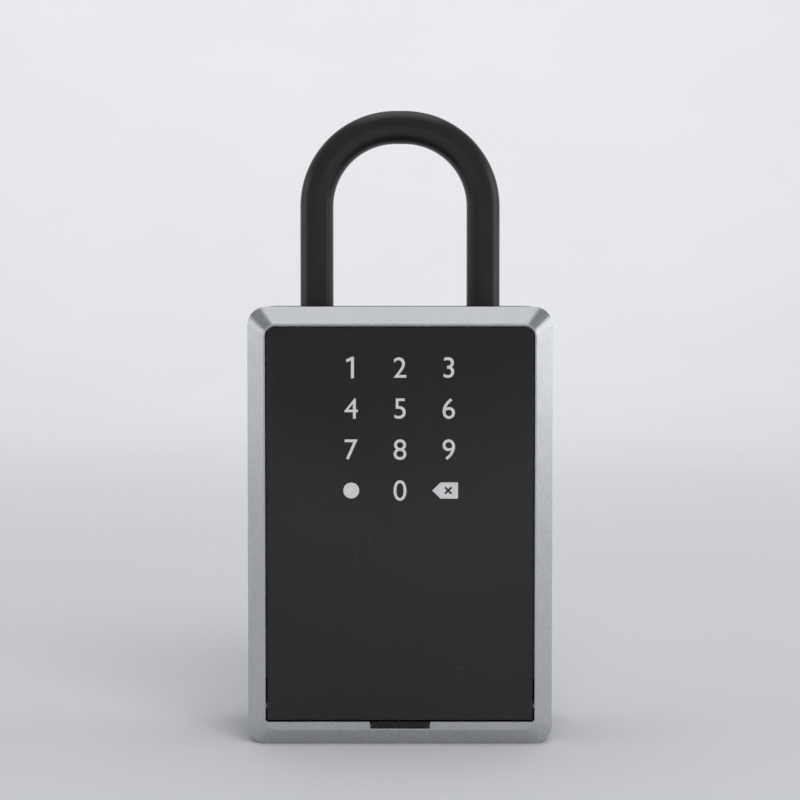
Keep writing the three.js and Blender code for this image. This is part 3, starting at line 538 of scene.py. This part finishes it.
def printed_backspace(x, z):
    """A solid tag pointing left with a cross cut out of it."""
    half, right, shoulder, tip = 2.2 * MM, 3.4 * MM, -1.3 * MM, -3.6 * MM
    tag = [(tip, 0.0), (shoulder, -half), (right, -half), (right, half), (shoulder, half)]
    middle, reach, width = 0.75 * MM, 1.25 * MM, 0.27 * MM
    cross = []
    for quarter in range(4):
        turn = math.radians(45 + 90 * quarter)
        along = Vector((math.cos(turn), math.sin(turn)))
        across = Vector((-along.y, along.x))
        cross += [reach * along - width * across, reach * along + width * across, width * (along + across)]
    curve = bpy.data.curves.new("key_backspace", "CURVE")
    curve.dimensions = "2D"
    curve.fill_mode = "BOTH"
    for loop in (tag, [(middle + point.x, point.y) for point in cross]):
        spline = curve.splines.new("POLY")
        spline.points.add(len(loop) - 1)
        for point, (px, pz) in zip(spline.points, loop):
            point.co = (px, pz, 0.0, 1.0)
        spline.use_cyclic_u = True
    standing_print("key_backspace", curve, x + (right + tip) / 2, z)


for index, character in enumerate("123456789"):
    place = ((index % 3 - 1) * KEY_PITCH[0], FIRST_ROW - index // 3 * KEY_PITCH[1])
    if character == "1":
        printed_one(*place)
    else:
        printed_digit(character, *place)
LAST_ROW = FIRST_ROW - 3 * KEY_PITCH[1]
printed_dot(-KEY_PITCH[0], LAST_ROW)
printed_digit("0", 0.0, LAST_ROW)
printed_backspace(KEY_PITCH[0] - 0.9 * MM, LAST_ROW)


# ---------------------------------------------------------------- edges of the carried-over nodes

REPLACED = ("shackle_sleeve", "touch_panel")
THIN = 1.6 * MM
FINE_EDGE, COMMON_EDGE = 0.08 * MM, 0.25 * MM
for node_name in nodes:
    if node_name not in REPLACED:
        low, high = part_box(node_name)
        delicate = "screw" in node_name or min(high - low) < THIN
        refine(node_name, FINE_EDGE if delicate else COMMON_EDGE)


# ---------------------------------------------------------------- floor, light and camera

def studio_floor():
    """A pale round floor whose edge curves up into a low wall."""
    radius, bend, wall = 3.0, 1.5, 0.5
    profile = [(0.001, 0.0), (0.4, 0.0), (1.0, 0.0)]
    profile += arc((radius - bend, bend), bend, -90, 0, 32)
    profile += [(radius, bend + wall)]
    angles = [2 * math.pi * k / 96 for k in range(96)]
    rings = [[Vector((r * math.cos(a), r * math.sin(a), z)) for a in angles] for r, z in profile]
    floor = skin("studio_floor", rings, caps=False)
    material, shader = new_material("floor_paper", (0.7, 0.705, 0.712), 0.8, specular_ior_level=0.1)
    vector = coordinates(material)
    vary_color(material, shader, spread(material, noise(material, vector, 4.0), 0.0, 1.0),
               (0.69, 0.695, 0.702), (0.71, 0.715, 0.722))
    set_material(floor, material)
    shade_by_angle(floor, 60)
    floor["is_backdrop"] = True


def area_light(name, location, target, size, power, color=(1.0, 1.0, 1.0)):
    data = bpy.data.lights.new(name, "AREA")
    data.shape = "RECTANGLE"
    data.size, data.size_y = size
    data.energy = power
    data.color = color
    lamp = bpy.data.objects.new(name, data)
    lamp.location = location
    lamp.rotation_euler = (Vector(target) - Vector(location)).to_track_quat("-Z", "Y").to_euler()
    bpy.context.scene.collection.objects.link(lamp)
    return lamp


def studio_light():
    world = bpy.data.worlds.new("studio_air")
    world.use_nodes = True
    background = world.node_tree.nodes["Background"]
    background.inputs["Color"].default_value = (0.9, 0.93, 1.0, 1.0)
    background.inputs["Strength"].default_value = 0.3
    bpy.context.scene.world = world
    middle = (0.0, 0.0, 0.09)
    area_light("top_light", (0.0, 0.15, 1.3), middle, (0.95, 1.2), 3.2)
    area_light("right_light", (1.25, 0.05, 0.36), middle, (0.8, 0.7), 2.6)
    area_light("left_light", (-1.25, 0.05, 0.33), middle, (0.8, 0.64), 1.5)
    area_light("backdrop_light", (0.0, 1.3, 1.9), (0.0, 3.0, 0.6), (2.0, 1.0), 30.0)
    fill = area_light("front_light", (0.4, -1.8, 1.3), middle, (1.5, 0.9), 27.0)
    fill.visible_glossy = False


def front_camera():
    low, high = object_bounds()
    data = bpy.data.cameras.new("front_camera")
    data.lens = 110.0
    data.sensor_width = 36.0
    camera = bpy.data.objects.new("front_camera", data)
    seen_height = 0.216
    distance = seen_height * data.lens / data.sensor_width
    elevation = math.radians(2.5)
    headroom = 7.0 * MM
    aim = Vector((0.0, low.y, 0.5 * (low.z + high.z) + headroom))
    camera.location = aim + distance * Vector((0.0, -math.cos(elevation), math.sin(elevation)))
    camera.rotation_euler = (aim - camera.location).to_track_quat("-Z", "Y").to_euler()
    bpy.context.scene.collection.objects.link(camera)
    bpy.context.scene.camera = camera


studio_floor()
studio_light()
front_camera()
bpy.context.scene.view_settings.view_transform = "Standard"
